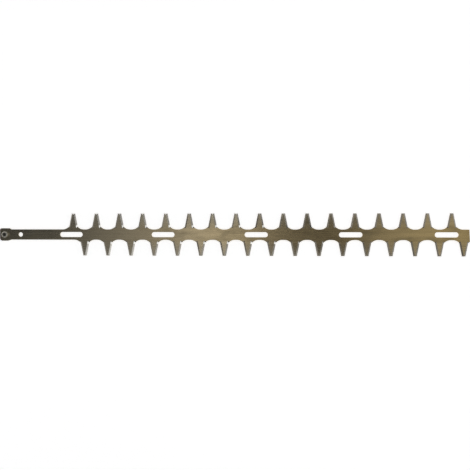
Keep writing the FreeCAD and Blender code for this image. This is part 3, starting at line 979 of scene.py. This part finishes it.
class HEDGEBLADE_OT_drive_pin(bpy.types.Operator):
    """Make the turned drive pin, peened into the eye of the head"""

    bl_idname = "hedgeblade.drive_pin"
    bl_label = "Drive pin"

    def execute(self, context):
        sizes = context.scene.pin_sizes
        corners = (
            (0.0, 0.0, 0.0),
            (sizes.shank_radius + sizes.peened_depth, 0.0, 0.0),
            (sizes.shank_radius, sizes.peened_depth, 0.0),
            (sizes.shank_radius, sizes.seat, 0.0),
            (sizes.radius, sizes.seat, sizes.rounding),
            (sizes.radius, sizes.top - sizes.chamfer, sizes.rounding),
            (sizes.radius - sizes.chamfer, sizes.top, sizes.rounding),
            (sizes.mark_radius, sizes.top, sizes.rounding),
            (0.0, sizes.top - sizes.mark_depth, 0.0),
        )
        outline = rounded_path([(Vector((x, z)), radius) for x, z, radius in corners], PIN_CORNER_STEPS)
        bm = bmesh.new()
        spots = [bm.verts.new((spot.x, 0.0, spot.y)) for spot in outline]
        edges = [bm.edges.new(pair) for pair in zip(spots, spots[1:])]
        bmesh.ops.spin(
            bm,
            geom=spots + edges,
            cent=(0, 0, 0),
            axis=(0, 0, 1),
            angle=math.tau,
            steps=sizes.facets,
            use_merge=True,
        )
        bmesh.ops.remove_doubles(bm, verts=bm.verts, dist=WELD)
        mesh = bpy.data.meshes.new("turned_pin")
        bm.to_mesh(mesh)
        bm.free()
        check_closed(mesh)
        mesh.shade_smooth()
        mesh.set_sharp_from_angle(angle=SHARP_ANGLE)
        mesh.materials.append(turned_steel(context.scene.steel_finish))
        stand_for("drive_pin", mesh)
        return {"FINISHED"}


def aimed(item, spot, target):
    """Put a lamp or camera at a spot, looking at a target, with the blade's +Y up."""
    toward = (Vector(target) - Vector(spot)).normalized()
    side = toward.cross(Vector((0.0, 1.0, 0.0))).normalized()
    upward = side.cross(toward)
    turn = Matrix((side, upward, -toward)).transposed()
    item.matrix_world = Matrix.Translation(spot) @ turn.to_4x4()


def pale_paper(stage, middle):
    """Paper lit from below, as on a light table, whose glow becomes the backdrop's away from the blade."""
    paper = bpy.data.materials.new("pale_floor")
    paper.use_nodes = True
    tree = paper.node_tree
    shader = tree.nodes["Principled BSDF"]
    shader.inputs["Base Color"].default_value = (*stage.floor, 1.0)
    shader.inputs["Roughness"].default_value = 0.9
    shader.inputs["Specular IOR Level"].default_value = 0.1
    shader.inputs["Emission Color"].default_value = WHITE
    places = out(wire(tree, "ShaderNodeTexCoord", {}), "Object")
    away = wire(tree, "ShaderNodeVectorMath", {0: places, 1: middle}, operation="DISTANCE")
    glow = ranged(tree, out(away, "Value"), *stage.floor_fade, stage.floor_glow, stage.backdrop)
    tree.links.new(glow, shader.inputs["Emission Strength"])
    return paper


def lay_floor(stage):
    """A pale floor under the blade."""
    middle = (CAD_BOX[0] + CAD_BOX[1]) / 2
    half = stage.floor_side / 2
    signs = ((-1, -1), (1, -1), (1, 1), (-1, 1))
    mesh = bpy.data.meshes.new("floor")
    corners = [(middle.x + x * half, middle.y + y * half, -FLOOR_DROP) for x, y in signs]
    mesh.from_pydata(corners, [], [(0, 1, 2, 3)])
    mesh.materials.append(pale_paper(stage, middle))
    floor = bpy.data.objects.new("floor", mesh)
    bpy.context.scene.collection.objects.link(floor)


def set_surround(stage):
    """A dim surround with a pale foot, as of a studio's cove."""
    world = bpy.data.worlds.new("pale_surround")
    world.use_nodes = True
    tree = world.node_tree
    backdrop = tree.nodes["Background"]
    backdrop.inputs["Color"].default_value = WHITE
    direction = out(wire(tree, "ShaderNodeTexCoord", {}), "Generated")
    height = out(wire(tree, "ShaderNodeSeparateXYZ", {"Vector": direction}), "Z")
    cove = ranged(tree, height, *COVE_FADE, stage.backdrop, stage.surround)
    tree.links.new(cove, backdrop.inputs["Strength"])
    bpy.context.scene.world = world


def set_lamps(stage):
    """Soft rectangular lamps over and round the blade."""
    for name, setting, spot, target, width, height in LAMPS:
        lamp = bpy.data.lights.new(name, "AREA")
        lamp.shape = "RECTANGLE"
        lamp.size = width
        lamp.size_y = height
        lamp.energy = getattr(stage, setting)
        item = bpy.data.objects.new(name, lamp)
        bpy.context.scene.collection.objects.link(item)
        aimed(item, spot, target)


def set_camera(stage):
    """A camera where the photograph was taken from."""
    lens = bpy.data.cameras.new("camera")
    lens.sensor_fit = "HORIZONTAL"
    lens.lens = stage.focal_pixels / IMAGE_SIDE * lens.sensor_width
    lens.clip_start = 0.01
    lens.clip_end = 50.0
    camera = bpy.data.objects.new("camera", lens)
    bpy.context.scene.collection.objects.link(camera)
    aimed(camera, stage.eye, stage.aim)
    bpy.context.scene.camera = camera


class HEDGEBLADE_OT_stage(bpy.types.Operator):
    """Set the pale floor, the surround, the soft lamps and the camera"""

    bl_idname = "hedgeblade.stage"
    bl_label = "Stage"

    def execute(self, context):
        stage = context.scene.stage_settings
        lay_floor(stage)
        set_surround(stage)
        set_lamps(stage)
        set_camera(stage)
        context.scene.view_settings.view_transform = "Standard"
        return {"FINISHED"}


class HEDGEBLADE_PT_panel(bpy.types.Panel):
    """Sizes, finish and stage of the blade"""

    bl_label = "Hedge trimmer blade"
    bl_idname = "HEDGEBLADE_PT_panel"
    bl_space_type = "VIEW_3D"
    bl_region_type = "UI"
    bl_category = "Blade"

    def draw(self, context):
        for operator in OPERATORS:
            self.layout.operator(operator.bl_idname)
        for name, group in GROUPS.items():
            box = self.layout.box()
            for item in group.__annotations__:
                box.prop(getattr(context.scene, name), item)


GROUPS = {
    "blade_sizes": BladeSizes,
    "pin_sizes": PinSizes,
    "steel_finish": SteelFinish,
    "stage_settings": StageSettings,
}
OPERATORS = (HEDGEBLADE_OT_ground_blade, HEDGEBLADE_OT_drive_pin, HEDGEBLADE_OT_stage)


def register():
    for item in (*GROUPS.values(), *OPERATORS, HEDGEBLADE_PT_panel):
        bpy.utils.register_class(item)
    for name, group in GROUPS.items():
        setattr(bpy.types.Scene, name, bpy.props.PointerProperty(type=group))


def unregister():
    for name in GROUPS:
        delattr(bpy.types.Scene, name)
    for item in (HEDGEBLADE_PT_panel, *reversed(OPERATORS), *reversed(list(GROUPS.values()))):
        bpy.utils.unregister_class(item)


def main():
    register()
    bpy.ops.hedgeblade.ground_blade()
    bpy.ops.hedgeblade.drive_pin()
    bpy.ops.hedgeblade.stage()


if __name__ == "__main__":
    main()
